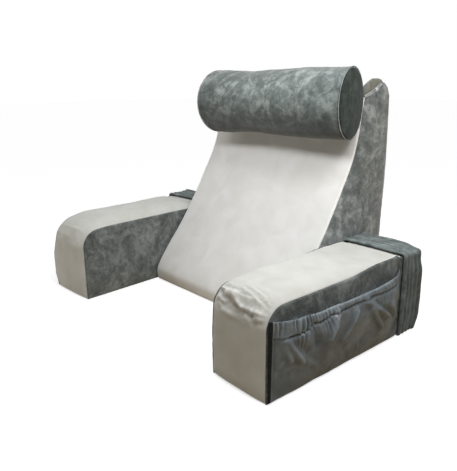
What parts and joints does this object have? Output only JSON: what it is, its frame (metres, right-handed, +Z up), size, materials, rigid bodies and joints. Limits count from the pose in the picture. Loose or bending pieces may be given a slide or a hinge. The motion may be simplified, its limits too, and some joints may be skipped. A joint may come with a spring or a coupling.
{
  "type": "reading pillow",
  "caption": "Bed reading pillow: a filled wedge back with loose padded arms held in ribbed cuffs, an outer pocket on the arms, a zip and a round neck bolster.",
  "frame": {"origin": "on the floor under the middle of the wedge's base", "axes": "+X across the wedge towards the sitter's left arm, +Y to the rear, away from the sitter, +Z up"},
  "size_m": [0.7795, 0.5372, 0.5102],
  "materials": {
    "light_velvet": "short pile velvet, cream grey",
    "dark_plush": "crushed plush, greenish dark grey",
    "dark_nylon": "satin woven nylon, dark grey",
    "ribbed_webbing": "ribbed elastic cloth, dark grey",
    "zip_metal": "polished zip teeth"
  },
  "bodies": {
    "root": {"back_body": "dark_plush", "back_front_panel": "light_velvet", "back_side_left": "dark_plush", "back_side_right": "dark_plush", "back_side_right_top": "dark_plush", "arm_right_body": "light_velvet", "arm_right_side_inner": "dark_plush", "arm_right_side_outer": "dark_plush", "arm_right_pocket": "dark_nylon", "arm_right_cuff": "ribbed_webbing", "arm_left_body": "light_velvet", "arm_left_side_inner": "dark_plush", "arm_left_side_outer": "dark_plush", "arm_left_pocket": "dark_nylon", "arm_left_cuff": "ribbed_webbing", "bolster_body": "dark_plush", "bolster_end_left": "dark_plush", "bolster_end_right": "dark_plush", "zip_tape": "dark_nylon", "zip_teeth_upper": "zip_metal", "zip_teeth_lower": "zip_metal", "zip_slider": "zip_metal", "zip_pull": "dark_nylon"}
  },
  "joints": []
}
